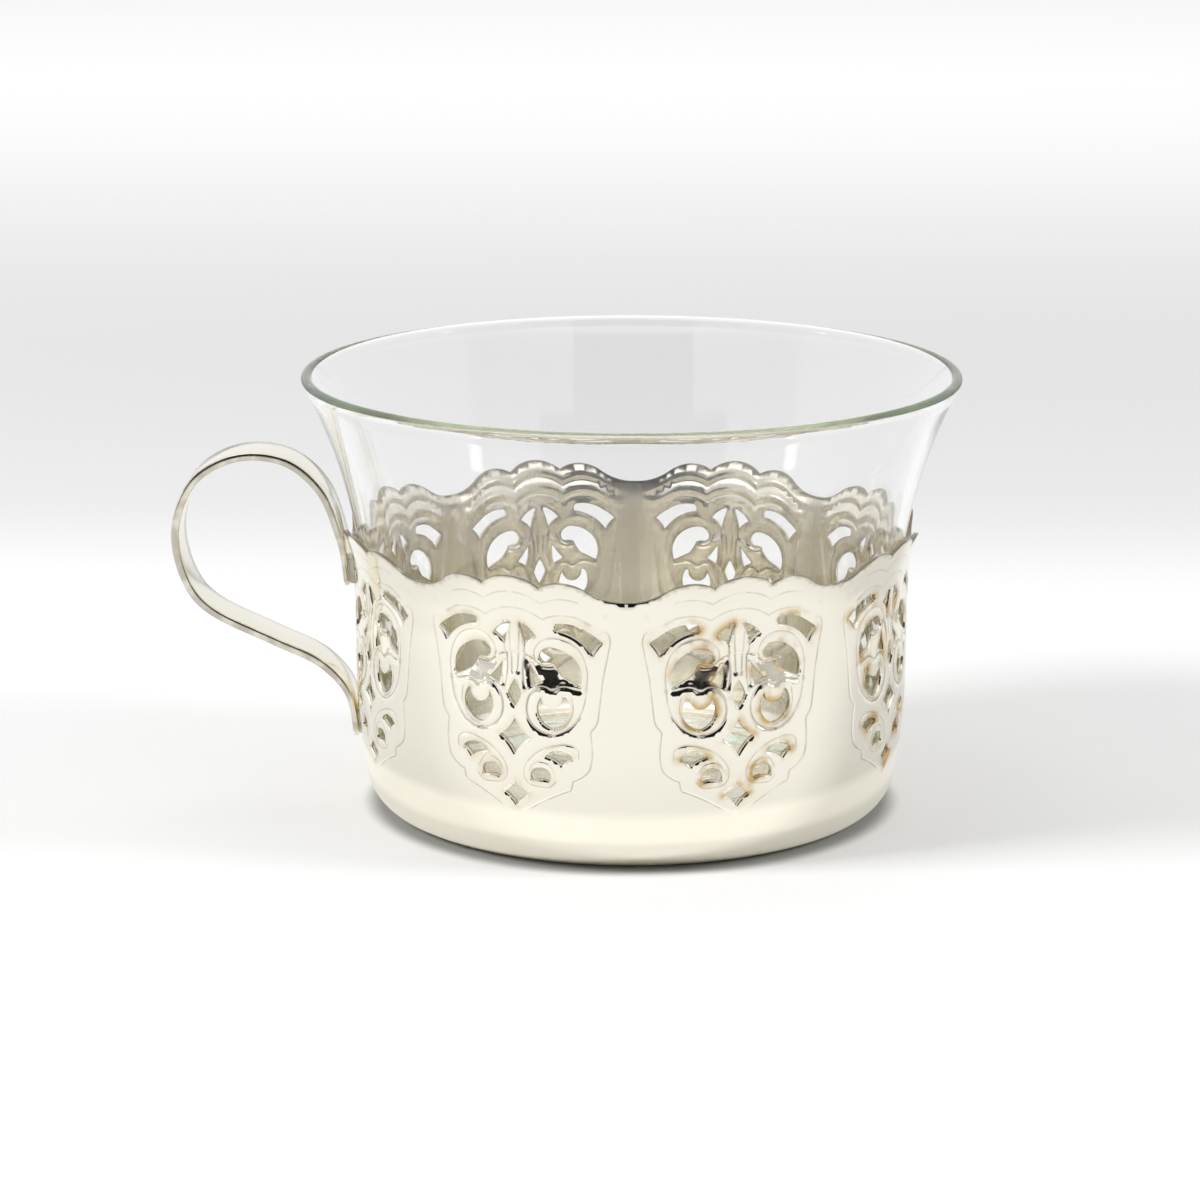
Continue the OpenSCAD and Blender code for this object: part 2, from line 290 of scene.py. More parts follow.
class Embossing:
    """Height of one panel's relief over the plain wall, in mm, at points of the flat panel."""

    def __init__(self, sizes):
        self.rise = sizes.cartouche_rise / MM
        self.relief = sizes.relief / MM
        self.web = sizes.web_slope
        self.flute = sizes.lip_flute / MM
        self.band = sizes.band_depth / MM
        self.cartouche = both_halves(outline(CARTOUCHE, 0.5))
        self.lines = [(smooth_line(p), k, w) for p, k, w in LINES]
        self.web_line = smooth_line(WEB, steps=3)
        self.web_ring = both_halves(self.web_line)
        self.crown = np.array(sorted(outline(CROWN, 0.3)))

    def under_crown(self, points):
        """How far points lie under the scalloped edge, and how strong the bands along it are there."""
        x = np.abs(points[:, 0])
        under = np.interp(x, self.crown[:, 0], self.crown[:, 1]) - points[:, 1]
        return under, step_up(BAND_END - x, 5) * step_up(2.5 * BAND - under, BAND / 2) * step_up(under, 0.3)

    def height(self, points, side=1):
        """Height on the outer (1) or inner (-1) skin."""
        outer = side > 0
        x, y = points[:, 0], points[:, 1]
        # the cartouche's edge stands proud at its sides and its point, and runs out towards the crown
        h = self.rise * step_up(depth_in(self.cartouche, points), 0.32) * step_up(CARTOUCHE_END - y, 4)
        # the web tilts up on both sides of the stem, and less on the inside
        over = np.clip(y - WEB_START, 0, WEB_RISE) * (0.3 + 0.7 * step_up(np.abs(x) - 0.8, 1.0))
        web = step_up(depth_in(self.web_ring, points), 0.3 + 0.09 * over)
        h -= self.web * (1 if outer else 0.35) * over * web * step_up(y - WEB_START, 1)
        for line, share, width in self.lines:
            h -= self.relief * share * bump(distance_to(line, points), width)
        under, bands = self.under_crown(points)
        h -= self.band * (0.2 if outer else 1.5) * np.abs(np.sin(math.pi * under / BAND)) * bands
        valley = 0.5 - 0.5 * np.cos(np.clip(x / HALF_PANEL, -1, 1) * math.pi)
        return h - self.flute * valley ** 1.5 * step_up(y - VALLEY_START, 6.5)

    def grime_and_shade_at(self, points):
        """How much grime and painted shade darken the pressed lines, the cartouche's edge, the crown's edge
        and the bands' ridges, 1 in the bottom of the deepest line.
        """
        x, y = np.abs(points[:, 0]), points[:, 1]
        # grime and painted shade: the cartouche's edge and the pressed lines are painted darker
        grime_and_shade_amount = 0.75 * bump(distance_to(self.cartouche, points, closed=True), 0.12)
        grime_and_shade_amount *= step_up(33.8 - y, 1.5) * np.maximum(step_up(x - 1.2, 1.4), step_up(y - 12, 2))
        for line, share, _ in self.lines:
            grime_and_shade_amount = np.maximum(grime_and_shade_amount, min(1, 0.5 + 0.4 * share) * bump(distance_to(line, points), 0.13))
        under, bands = self.under_crown(points)
        # painted shade: dark lines along the crown's edge and along the bands' ridges
        grime_and_shade_amount = np.maximum(grime_and_shade_amount, 0.9 * bump(np.abs(under), 0.4))
        ridges = np.minimum(np.abs(under - BAND), np.abs(under - 2 * BAND))
        return np.maximum(grime_and_shade_amount, 0.5 * bands * bump(ridges, 0.12))

    def pressed(self):
        """Points on both shoulders and in the bottom of every pressed line, in mm on the flat panel."""
        found = []
        crown = np.array([p for p in outline(CROWN, 0.4) if p[0] < 9])
        lines = [(line, (-width / 2, 0, width / 2)) for line, _, width in self.lines]
        lines += [(crown - (0, drop), (-0.17, 0, 0.17)) for drop in (BAND, 2 * BAND)]
        lines.append((np.array(outline(CARTOUCHE, 0.4)), (-0.14, 0, 0.16, 0.34)))
        lines.append((self.web_line, (0, -0.2, -0.4)))
        for line, offsets in lines:
            lengths = np.concatenate([[0], np.cumsum(np.linalg.norm(np.diff(line, axis=0), axis=1))])
            at = np.arange(0, lengths[-1], 0.36)
            spots = np.column_stack([np.interp(at, lengths, line[:, k]) for k in (0, 1)])
            found += [spots + offset * leftwards(unit(np.gradient(spots, axis=0))) for offset in offsets]
        return np.vstack(found)


def hexes(step, low, high, right):
    """A grid of points on the flat half panel, every other row half a step further right."""
    heights = np.arange(low, high, step * math.sqrt(3) / 2)
    return np.array([(x + (i % 2) * step / 2, y) for i, y in enumerate(heights)
                     for x in np.arange(step / 2, right, step)])


def down_middle(top, bottom, step):
    """Points of the middle line between two heights, going down."""
    count = max(1, round((top - bottom) / step))
    return [(0.0, top + (bottom - top) * i / count) for i in range(1, count)]


def half_border(middle, crown, rounding):
    """The half panel's outline: along the foot, up the seam, back along the crown, down the middle line."""
    rows = 30
    high = crown[0, 1]
    border = [(SEAM * i / FOOT_COLUMNS, WALL_FOOT) for i in range(FOOT_COLUMNS + 1)]
    border += [(SEAM, WALL_FOOT + (high - WALL_FOOT) * i / rows) for i in range(1, rows)]
    border += [(SEAM, high - 2.5 * rounding), (SEAM, high - rounding)]
    border += [tuple(p) for p in crown]
    top = SHELL_H - rounding
    border.append((0.0, top))
    for ring in reversed(middle):
        border += down_middle(top, ring[-1, 1], 0.45)
        border += [(max(p[0], 0.0), p[1]) for p in ring[::-1]]
        top = ring[0, 1]
    return np.array(border + down_middle(top, WALL_FOOT, 0.8))


def half_panel(emboss, fine, coarse, rounding):
    """One half panel, opened flat, as (arc length, height) in mm.

    Gives the points and triangles of its outer and its inner skin, and its cut edges, each with whether it is
    closed, the crown last. The embossed sheet has hundreds of soft steps round its windows, so this piece is
    meshed from its height map and not shaped with edit-mode tools.
    """
    edge_step = 0.34
    loops = [round_wall(outline(rows, edge_step, closed=True)) for rows in WINDOWS.values()]
    middle = [round_wall(outline(rows, edge_step)) for rows in MIDDLE_WINDOWS.values()]
    crown = round_wall(outline(CROWN, edge_step))
    crown = crown[crown[:, 0] < SEAM - 0.05]
    crown = np.vstack([[(SEAM, crown[0, 1])], crown])
    edges = [(ring, True) for ring in loops] + [(ring, False) for ring in middle + [crown]]
    border = half_border(middle, crown, rounding)

    beside = []
    for ring, closed in edges:
        start, following = (ring, np.roll(ring, -1, axis=0)) if closed else (ring[:-1], ring[1:])
        aside = rounding * leftwards(unit(following - start))
        beside += [(start + following) / 2 + aside, (start + following) / 2 - aside]
    beside = np.vstack(beside)

    def clear(points, near_cut, near_border):
        """The points that lie on the sheet, away from its cut edges and its border."""
        keep = inside(border, points) & (distance_to(border, points, closed=True) > near_border)
        for ring, closed in edges:
            keep &= distance_to(ring, points, closed=closed) > near_cut
            if closed:
                keep &= ~inside(ring, points)
        return points[keep]

    def mesh(within):
        """Triangles between the border, the windows and the points within."""
        points, sides = [], []
        for ring in (border, *loops):
            start = len(points)
            points += [tuple(p) for p in ring]
            sides += [(start + i, start + (i + 1) % len(ring)) for i in range(len(ring))]
        points += [tuple(p) for p in within]
        made = delaunay_2d_cdt([Vector(p) for p in points], sides, [], 0, 1e-7)
        where = np.array([tuple(p) for p in made[0]])
        faces = np.array([tuple(f) for f in made[2]])
        centres = where[faces].mean(axis=1)
        keep = inside(border, centres)
        for ring in loops:
            keep &= ~inside(ring, centres)
        return where, faces[keep]

    pressed = round_wall(emboss.pressed())
    pressed = pressed[(pressed[:, 0] > 0.1) & (pressed[:, 0] < SEAM - 0.1)]
    pressed = thinned(clear(pressed, rounding * 1.7, 0.12), 0.13)
    low, panel_foot = WALL_FOOT + 0.5, 7.0
    sides = hexes(coarse, panel_foot, SHELL_H, SEAM)
    detail = np.vstack([hexes(fine, panel_foot + 0.2, SHELL_H, FINE_X - 0.1),
                        hexes(coarse, low, panel_foot, SEAM), sides[sides[:, 0] > FINE_X]])
    detail = clear(detail, rounding * 2.2, 0.25)
    detail = detail[nearest(detail, pressed) > 0.3]
    outer = np.vstack([clear(beside, rounding * 0.8, rounding * 0.8), pressed, detail])
    lines = thinned(clear(pressed, 0.2, 0.12), 0.2)
    inner = clear(hexes(coarse * 0.7, low, SHELL_H, SEAM), 0.25, 0.3)
    inner = np.vstack([lines, inner[nearest(inner, lines) > 0.3]])
    return mesh(outer), mesh(inner), edges


def foot_profile():
    """Outside and inside of the sheet under the wall, from the wall to the middle of the bottom."""
    wall = float(wall_radius(WALL_FOOT))
    ring = FOOT_R - FOOT_W
    floor = FOOT_RECESS + SHEET_T
    flat = (24, 16, 8, 0)
    outer = [(wall, WALL_FOOT)] + arc((FOOT_R, 0), (wall, WALL_FOOT), 0.33, 0.62)[::-1]
    outer += [(ring, 0), (ring - 0.25, 0.08), (ring - 0.75, FOOT_RECESS - 0.1), (ring - 1.05, FOOT_RECESS)]
    inner = [(wall - SHEET_T, WALL_FOOT)]
    inner += arc((FOOT_R - 0.25, SHEET_T), (wall - SHEET_T, WALL_FOOT), 0.33, 0.9)[::-1]
    inner += [(ring, SHEET_T + 0.2), (ring - 0.6, floor - 0.1), (ring - 1.1, floor)]
    return outer + [(r, FOOT_RECESS) for r in flat], inner + [(r, floor) for r in flat]


class Sheet:
    """Collects the holder's faces, with a normal for every corner, in metres."""

    def __init__(self):
        self.index = {}
        self.points = []
        self.marks = []
        self.faces = []
        self.inner = []
        self.normals = []

    def place_panel(self, angle, flip):
        """Turns what is added next to its panel, and mirrors it where it is the panel's other half."""
        self.flip = -1 if flip else 1
        self.cosine = math.cos(angle)
        self.sine = math.sin(angle)

    def turned(self, vector):
        """A panel's vector (across, outwards, up) in its place."""
        across, out, up = self.flip * vector[0], vector[1], vector[2]
        return (across * self.cosine + out * self.sine, across * self.sine - out * self.cosine, up)

    def corner(self, place, marks):
        """Index of the corner at a place in mm, marked with how near a window it is and how much grime and
        painted shade darken it.
        """
        p = self.turned(place)
        i = self.index.setdefault(tuple(round(c * 2000) for c in p), len(self.points))
        if i == len(self.points):
            self.points.append(tuple(c * MM for c in p))
            self.marks.append(marks)
        self.marks[i] = tuple(max(pair) for pair in zip(self.marks[i], marks))
        return i

    def row(self, places, normals, marks):
        """Corners and normals of a row of points."""
        return [self.corner(p, m) for p, m in zip(places, marks)], [self.turned(n) for n in normals]

    def face(self, corners, normals, inner=False):
        """Adds a face, wound so that it faces the way its corners' normals do."""
        used = [(c, n) for k, (c, n) in enumerate(zip(corners, normals)) if c != corners[k - 1]]
        if len(used) < 3:
            return
        a, b, c = (Vector(self.points[k]) for k, _ in used[:3])
        if (b - a).cross(c - a).dot(sum((Vector(n) for _, n in used[:3]), Vector())) < 0:
            used.reverse()
        self.faces.append([c for c, _ in used])
        self.inner.append(int(inner))
        self.normals += [n for _, n in used]

    def strip(self, one, other, closed=False, inner=False):
        """Adds the faces between two rows."""
        (a, u), (b, v) = one, other
        for i in range(len(a) if closed else len(a) - 1):
            k = (i + 1) % len(a)
            self.face([a[i], a[k], b[k], b[i]], [u[i], u[k], v[k], v[i]], inner)


def shell_mesh(sizes):
    """The embossed, pierced sheet of the holder."""
    emboss = Embossing(sizes)
    rounding = sizes.edge_round / MM
    outer, inner, edges = half_panel(emboss, sizes.mesh_step / MM, 1.05, rounding)
    crown = edges[-1][0]
    flat_edges = [(off_wall(ring), closed) for ring, closed in edges]

    def nearest_cut(flat, cuts):
        return np.min([distance_to(ring, flat, closed=closed) for ring, closed in cuts], axis=0)

    def surface(points, side):
        """Places and normals of points on the outer (1) or inner (-1) skin, before they are turned."""
        def radius(q):
            flat = off_wall(q)
            rounded = bump(nearest_cut(flat, flat_edges), rounding * 1.3) * rounding * 0.8
            plain = wall_radius(q[:, 1]) - (SHEET_T if side < 0 else 0)
            return plain + emboss.height(flat, side) - side * rounded
        # half the stretch in mm over which a slope is measured
        e = 0.04
        r = radius(points)
        along = (radius(points + (e, 0)) - radius(points - (e, 0))) / (2 * e) * WALL_R / r
        mirrored = np.minimum(np.abs(points[:, 0]), np.abs(points[:, 0] - SEAM)) < 1e-6
        along = np.where(mirrored, 0, along)
        up = (radius(points + (0, e)) - radius(points - (0, e))) / (2 * e)
        sine, cosine = np.sin(points[:, 0] / WALL_R), np.cos(points[:, 0] / WALL_R)
        across, out, up = unit(np.column_stack([-along, np.ones(len(r)), -up])).T
        normal = np.column_stack([across * cosine + out * sine, out * cosine - across * sine, up])
        return np.column_stack([r * sine, r * cosine, points[:, 1]]), normal * side

    skins = []
    for (where, faces), side in ((outer, 1), (inner, -1)):
        flat = off_wall(where)
        near = np.exp(-(nearest_cut(flat, flat_edges[:-1]) / 1.1) ** 2)
        skins.append((*surface(where, side), faces, np.column_stack([near, emboss.grime_and_shade_at(flat)]), side < 0))

    rims = []
    for ring, closed in edges:
        # the cut edges' corners are marked for painted shade, which draws each edge as a thin dark line
        if ring is crown:
            near, outer_shade, inner_shade, hand = 0.0, CROWN_SHADE, CROWN_SHADE, -1
        else:
            near, outer_shade, inner_shade, hand = 1.0, 0.25, EDGE_SHADE, area_sign(ring) if closed else 1
        ring = np.column_stack([np.maximum(ring[:, 0], 0), ring[:, 1]])
        count = len(ring)
        if closed:
            way = unit(np.roll(ring, -1, axis=0) - np.roll(ring, 1, axis=0))
        else:
            way = line_ways(ring)
        sine, cosine, zero = np.sin(ring[:, 0] / WALL_R), np.cos(ring[:, 0] / WALL_R), np.zeros(count)
        # the sheet's own way out, of which a share turns the shading at the corners of a cut edge
        out = 0.7 * np.column_stack([sine, cosine, zero])
        hole = hand * (-way[:, 1:] * np.column_stack([cosine, -sine, zero]) + way[:, :1] * (0, 0, 1))
        rims.append(((surface(ring, 1)[0], unit(hole + out), [(near, outer_shade)] * count),
                     (surface(ring, -1)[0], unit(hole - out), [(near, inner_shade)] * count), closed))

    sheet = Sheet()
    for panel in range(PANELS):
        for flip in (False, True):
            sheet.place_panel((panel + 0.5) * 2 * HALF_TURN, flip)
            for place, normal, faces, marks, inner_skin in skins:
                spots, ways = sheet.row(place, normal, marks)
                for f in faces:
                    sheet.face([spots[i] for i in f], [ways[i] for i in f], inner_skin)
            for outer_edge, inner_edge, closed in rims:
                sheet.strip(sheet.row(*outer_edge), sheet.row(*inner_edge), closed)
            for profile, side in zip(foot_profile(), (1, -1)):
                add_foot(sheet, profile, side)
    return sheet


def area_sign(ring):
    """1 where a closed outline runs anticlockwise, and -1 where it runs clockwise."""
    x, y = ring[:, 0], ring[:, 1]
    return 1 if (x * np.roll(y, -1) - np.roll(x, -1) * y).sum() > 0 else -1


def line_ways(line):
    """The direction of an open line at each of its points."""
    longer = np.vstack([2 * line[:1] - line[1:2], line, 2 * line[-1:] - line[-2:-1]])
    return unit(longer[2:] - longer[:-2])


def add_foot(sheet, profile, side):
    """Adds the faces round the foot and the bottom, in one half panel."""
    line = np.array(profile)
    normals = side * leftwards(line_ways(line))
    normals[0] = side * unit(np.array([1, -WALL_KNOTS[0][2]]))
    turns = [HALF_TURN * i / FOOT_COLUMNS for i in range(FOOT_COLUMNS + 1)]
    rows = []
    for (r, z), (out, up) in zip(line, normals):
        rows.append(sheet.row([(r * math.sin(t), r * math.cos(t), z) for t in turns],
                              [(out * math.sin(t), out * math.cos(t), up) for t in turns],
                              [(0.0, 0.0)] * len(turns)))
    for one, other in zip(rows, rows[1:]):
        sheet.strip(one, other, inner=side < 0)


class Value:
    """A node's output that can be reckoned with: every step adds a node to the same tree."""

    def __init__(self, socket):
        self.socket = socket
        self.tree = socket.id_data

    def made(self, operation, *others, clamp=False):
        """The outcome of a math node that takes the value and the others."""
        step = new_node(self.tree, "Math", {}, operation=operation, use_clamp=clamp)
        for value, socket in zip((self, *others), step.inputs):
            feed(value, socket)
        return Value(step.outputs[0])

    def __add__(self, other):
        return self.made("ADD", other)

    def __mul__(self, other):
        return self.made("MULTIPLY", other)

    def __truediv__(self, other):
        return self.made("DIVIDE", other)

    def left(self):
        """What is left of 1."""
        return self.made("MULTIPLY_ADD", -1.0, 1.0)

    def ramp(self, low, high, to_low=0.0, to_high=1.0):
        """A soft step from to_low, where the value is low, to to_high, where it is high."""
        ends = {"Value": self, "From Min": low, "From Max": high, "To Min": to_low, "To Max": to_high}
        return Value(new_node(self.tree, "MapRange", ends, interpolation_type="SMOOTHSTEP").outputs["Result"])

    def axes(self):
        """The three numbers of a place."""
        return [Value(socket) for socket in new_node(self.tree, "SeparateXYZ", {0: self}).outputs]

    def noise(self, scale, detail=2.0, roughness=0.5, stretch=None):
        """Noise at a place, with the pattern squeezed along each axis as stretch says."""
        where = self
        if stretch:
            squeezed = new_node(self.tree, "Mapping", {"Vector": self, "Scale": stretch})
            where = Value(squeezed.outputs["Vector"])
        kind = {"Vector": where, "Scale": scale, "Detail": detail, "Roughness": roughness}
        return Value(new_node(self.tree, "TexNoise", kind).outputs["Fac"])

    def normal(self, height):
        """The surface's normal where the value is a height map, as high in metres as height says."""
        return Value(new_node(self.tree, "Bump", {"Height": self, "Distance": height}).outputs["Normal"])


def feed(value, socket):
    """Links a Value to a node's input, or sets a plain number or colour on it."""
    if isinstance(value, Value):
        value.tree.links.new(value.socket, socket)
    else:
        socket.default_value = value


def new_node(tree, kind, inputs, **settings):
    """A shader node with its settings made and then its inputs fed."""
    node = tree.nodes.new("ShaderNode" + kind)
    for name, value in settings.items():
        setattr(node, name, value)
    for name, value in inputs.items():
        feed(value, node.inputs[name])
    return node


def source(tree, kind, output, **settings):
    """The named output of a node that needs no input."""
    return Value(new_node(tree, kind, {}, **settings).outputs[output])


def mixed(part, a, b):
    """Colour a going over to colour b."""
    mix = new_node(part.tree, "Mix", {"Factor": part, "A": a, "B": b}, data_type="RGBA")
    return Value(mix.outputs["Result"])


def node_group(name, inputs, outputs):
    """A shader node group with its ends: its inputs' Values by name, and the sockets of its outputs.

    An input or output is a vector where None stands for its default, a colour where it has four numbers, and
    otherwise a number.
    """
    kinds = {type(None): "NodeSocketVector", float: "NodeSocketFloat", tuple: "NodeSocketColor"}
    group = bpy.data.node_groups.new(name, "ShaderNodeTree")
    for way, sockets in (("INPUT", inputs), ("OUTPUT", outputs)):
        for socket, value in sockets.items():
            made = group.interface.new_socket(socket, in_out=way, socket_type=kinds[type(value)])
            if value is not None:
                made.default_value = value
    start, end = group.nodes.new("NodeGroupInput"), group.nodes.new("NodeGroupOutput")
    return group, {socket: Value(start.outputs[socket]) for socket in inputs}, end.inputs


def polish_group(name):
    """Hand-polished plate: soft waves in the sheet, wiping scratches and smudges."""
    group, given, end = node_group(
        name, {"Position": None, "Roughness": 0.1, "Smudges": 0.06, "Waves": 0.5, "Scratches": 0.1},
        {"Roughness": 0.0, "Height": 0.0})
    where = given["Position"]
    rough = where.noise(90, 4, 0.6).ramp(0.4, 0.75) * given["Smudges"] + given["Roughness"]
    specks = where.noise(900).ramp(0.55, 0.8, 0, 0.05)
    feed(specks * given["Scratches"] + rough, end["Roughness"])
    wiped = where.noise(700, 3, 0.6, stretch=(1, 1, 9))
    height = where.noise(110, 1, 0.4) * given["Waves"] + wiped * (given["Scratches"] * 0.05)
    feed(height, end["Height"])
    return group


def tarnish_and_shade_group(name):
    """Tea-brown staining that creeps along cut edges, and grime and painted shade that darken the marked
    lines and edges.
    """
    group, given, end = node_group(
        name, {"Position": None, "Edge": 0.0, "Amount": 0.6, "Clean colour": (0.9, 0.86, 0.76, 1),
               "Stain colour": (0.62, 0.33, 0.1, 1), "Grime and shade mark": 0.0, "Grime and shade strength": 0.7,
               "Grime and shade colour": (0.25, 0.21, 0.15, 1)},
        {"Color": (0.9, 0.86, 0.76, 1), "Stain": 0.0})
    where = given["Position"]
    across, _, up = where.axes()
    patches = where.noise(170, 3, 0.6).ramp(0.42, 0.66)
    # more on the right side, and more low down
    region = across.ramp(-0.004, 0.012, 0.2, 1) * up.ramp(0.021, 0.011, 0.75, 1.2)
    stain = given["Edge"].made("POWER", 2.0) * patches * region
    stain = stain.made("MULTIPLY", given["Amount"], clamp=True)
    worn = where.noise(420).ramp(0.3, 0.62, 0.35, 1.0)
    # grime and painted shade: the marked lines and edges go over to the dark colour
    grime_and_shade_amount = (given["Grime and shade mark"] * worn).made("MULTIPLY", given["Grime and shade strength"], clamp=True)
    stained = mixed(stain, given["Clean colour"], given["Stain colour"])
    feed(mixed(grime_and_shade_amount, stained, given["Grime and shade colour"]), end["Color"])
    feed(stain, end["Stain"])
    return group


GROUPS = {"Polished plate": polish_group, "Tarnish": tarnish_and_shade_group}


def placed_group(name, inputs):
    """A shared group placed in a material, as the Values of its outputs by name."""
    group = bpy.data.node_groups.get(name) or GROUPS[name](name)
    placed = new_node(inputs["Position"].tree, "Group", inputs, node_tree=group)
    return {socket.name: Value(socket) for socket in placed.outputs}


def new_material(name, inputs):
    """A material, its shader's sockets with the plain ones set, and the place on the piece."""
    made = bpy.data.materials.new(name)
    made.use_nodes = True
    shader = made.node_tree.nodes["Principled BSDF"]
    for socket, value in inputs.items():
        feed(value, shader.inputs[socket])
    return made, shader.inputs, source(made.node_tree, "TexCoord", "Object")


def silver_material(name, metal, colour, tarnish, roughness, strap=False, streaks=0.0):
    """Polished plate, stained along its cut edges, darkened in its lines by grime and painted shade, or on a
    strap's long edges by painted shade.
    """
    made, shader, place = new_material(name, {"Metallic": 1.0})
    polish = placed_group("Polished plate", {"Position": place, "Roughness": roughness, "Smudges": 0.06,
                                             "Waves": 0.5, "Scratches": metal.scratches})
    if strap:
        # painted shade: the strap's long edges are painted darker
        side = STRAP_W / 2 * MM
        marks = {"Grime and shade mark": place.axes()[1].made("ABSOLUTE").ramp(side - 0.3 * MM, side - 0.02 * MM, 0.0, 0.7)}
    else:
        marks = {socket: source(place.tree, "Attribute", "Fac", attribute_name=attribute)
                 for socket, attribute in (("Edge", "window_edge"), ("Grime and shade mark", "grime_and_shade_marks"))}
    aged = placed_group("Tarnish", {"Position": place, "Amount": tarnish, "Clean colour": (*colour, 1),
                                    "Stain colour": (*metal.stain, 1), "Grime and shade strength": metal.grime_and_shade_amount, **marks})
    rough = aged["Stain"] * 0.2 + polish["Roughness"]
    height = polish["Height"]
    if streaks:
        streak = place.noise(260, 3, 0.6, stretch=(1, 1, 0.06))
        rough = streak.ramp(0.35, 0.7) * (streaks * 0.3) + rough
        height = streak * streaks + height
    feed(aged["Color"], shader["Base Color"])
    feed(rough, shader["Roughness"])
    feed(height.normal(metal.wave_height), shader["Normal"])
    return made


def solder_material(name):
    """Dull grey solder."""
    made, shader, place = new_material(name, {"Metallic": 1.0, "Base Color": (0.66, 0.63, 0.56, 1)})
    feed(place.noise(1800, 3).ramp(0.35, 0.7, 0.28, 0.5), shader["Roughness"])
    return made


def glass_material(name, glass):
    """Clear glass with faint ripples, which takes a tint where it is thick."""
    made, shader, place = new_material(name, {"Base Color": (*glass.colour, 1), "Roughness": 0.0, "IOR": 1.5,
                                              "Transmission Weight": 1.0})
    feed(place.noise(60, 1, 0.4).normal(glass.ripple), shader["Normal"])
    depth = {"Color": (*glass.depth_colour, 1), "Density": glass.depth}
    volume = Value(new_node(place.tree, "VolumeAbsorption", depth).outputs[0])
    feed(volume, place.tree.nodes["Material Output"].inputs["Volume"])
    return made


def dress(obj, *made):
    """Gives a piece its materials."""
    obj.data.materials.clear()
    for material in made:
        obj.data.materials.append(material)


def wire(name, points):
    """A new piece that is only a line through points in mm, selected alone."""
    mesh = bpy.data.meshes.new(name)
    mesh.from_pydata(np.array(points) * MM, [(i, i + 1) for i in range(len(points) - 1)], [])
    made = bpy.data.objects.new(name, mesh)
    bpy.context.collection.objects.link(made)
    bpy.ops.object.select_all(action="DESELECT")
    made.select_set(True)
    bpy.context.view_layer.objects.active = made
    return made


def close_skin(gap, corner):
    """Merges the active piece's doubles, turns its faces outwards and smooths all but its corners."""
    bpy.ops.object.mode_set(mode="EDIT")
    bpy.ops.mesh.select_all(action="SELECT")
    bpy.ops.mesh.remove_doubles(threshold=gap * MM)
    bpy.ops.mesh.normals_make_consistent(inside=False)
    bpy.ops.object.mode_set(mode="OBJECT")
    bpy.ops.object.shade_smooth_by_angle(angle=math.radians(corner))


def in_mm(name, description, mm):
    """A length that a user can change, with its default in mm."""
    return FloatProperty(name=name, description=description, default=mm * MM, unit="LENGTH")


def amount(name, description, default, most=1.0):
    """A number from 0 up that a user can change."""
    return FloatProperty(name=name, description=description, default=default, min=0, max=most)


def in_degrees(name, description, degrees):
    """An angle that a user can change, with its default in degrees."""
    return FloatProperty(name=name, description=description, default=math.radians(degrees), subtype="ANGLE")


def tint(name, description, default):
    """A colour that a user can change."""
    return FloatVectorProperty(name=name, description=description, default=default, subtype="COLOR", size=3,
                               min=0, max=1)


class HolderSizes(bpy.types.PropertyGroup):
    cartouche_rise: in_mm("Cartouche rise", "How far each cartouche stands proud", 0.09)
    relief: in_mm("Relief", "Depth of the pressed lines", 0.09)
    web_slope: amount("Web slope", "How steeply the hollow by the stem tilts up", 0.14, 0.3)
    lip_flute: in_mm("Lip flute", "How far the lip's valleys keep in from its lobes", 0.4)
    band_depth: in_mm("Band depth", "Depth of the hollow bands along the scalloped edge", 0.2)
    edge_round: in_mm("Edge rounding", "Rounding of every cut edge", 0.08)
    mesh_step: in_mm("Mesh step", "Spacing of the mesh on the embossed panels", 0.6)
    silver: tint("Silver", "Colour of the clean plate", (0.955, 0.918, 0.80))
    inside: tint("Inside", "Colour of the duller inside", (0.93, 0.885, 0.78))
    inside_roughness: amount("Inside roughness", "Roughness of the duller inside", 0.12)
    streaks: amount("Streaks", "Strength of the inside's upright streaks", 0.6, 2)
    grime_and_shade_amount: amount("Darkening by grime and shade", "How dark the pressed lines are", 0.8)
    stain: tint("Stain", "Colour of the tarnish", (0.64, 0.45, 0.2))
    tarnish: amount("Tarnish", "How stained the cut edges are", 1.6, 2)
    roughness: amount("Roughness", "Roughness of the clean plate", 0.08)
    scratches: amount("Scratches", "Strength of the wiping scratches", 0.25)
    wave_height: in_mm("Wave height", "Height of the waves in the sheet", 0.03)


class HandleSizes(bpy.types.PropertyGroup):
    edge_round: in_mm("Edge rounding", "Rounding of the strap's long edges", 0.3)
    silver: tint("Silver", "Colour of the duller strap", (0.92, 0.885, 0.775))
    roughness: amount("Roughness", "Roughness of the strap", 0.14)


class GlassSizes(bpy.types.PropertyGroup):
    segments: IntProperty(name="Segments", description="Facets round the glass", default=160, min=32)
    bead: in_mm("Rim bead", "How much the fire-polished rim swells", 0.1)
    colour: tint("Colour", "Colour of the glass", (1, 1, 1))
    depth_colour: tint("Depth colour", "Colour that thick glass tends to", (0.76, 0.84, 0.69))
    depth: amount("Depth", "How fast thick glass takes that colour", 11, 100)
    ripple: in_mm("Ripple", "Height of the moulded ripples", 0.02)


class StudioSizes(bpy.types.PropertyGroup):
    lens: FloatProperty(name="Lens", description="Focal length in mm", default=115.47, min=10)
    distance: in_mm("Camera distance", "From the axis", 517)
    height: in_mm("Camera height", "Over the floor", 155.3)
    azimuth: in_degrees("Camera azimuth", "Turn to the right of the front", 0.9)
    pitch: in_degrees("Camera pitch", "Downwards", 13.82)
    yaw: in_degrees("Camera yaw", "Aim to the left of the axis", 0.476)
    key: amount("Key lamp", "Power of the lamp on the left in watts", 5.2, 100)
    fill: amount("Fill lamp", "Power of the lamp on the right in watts", 3.3, 100)
    overhead: amount("Overhead lamp", "Power of the lamp above in watts", 0.9, 100)


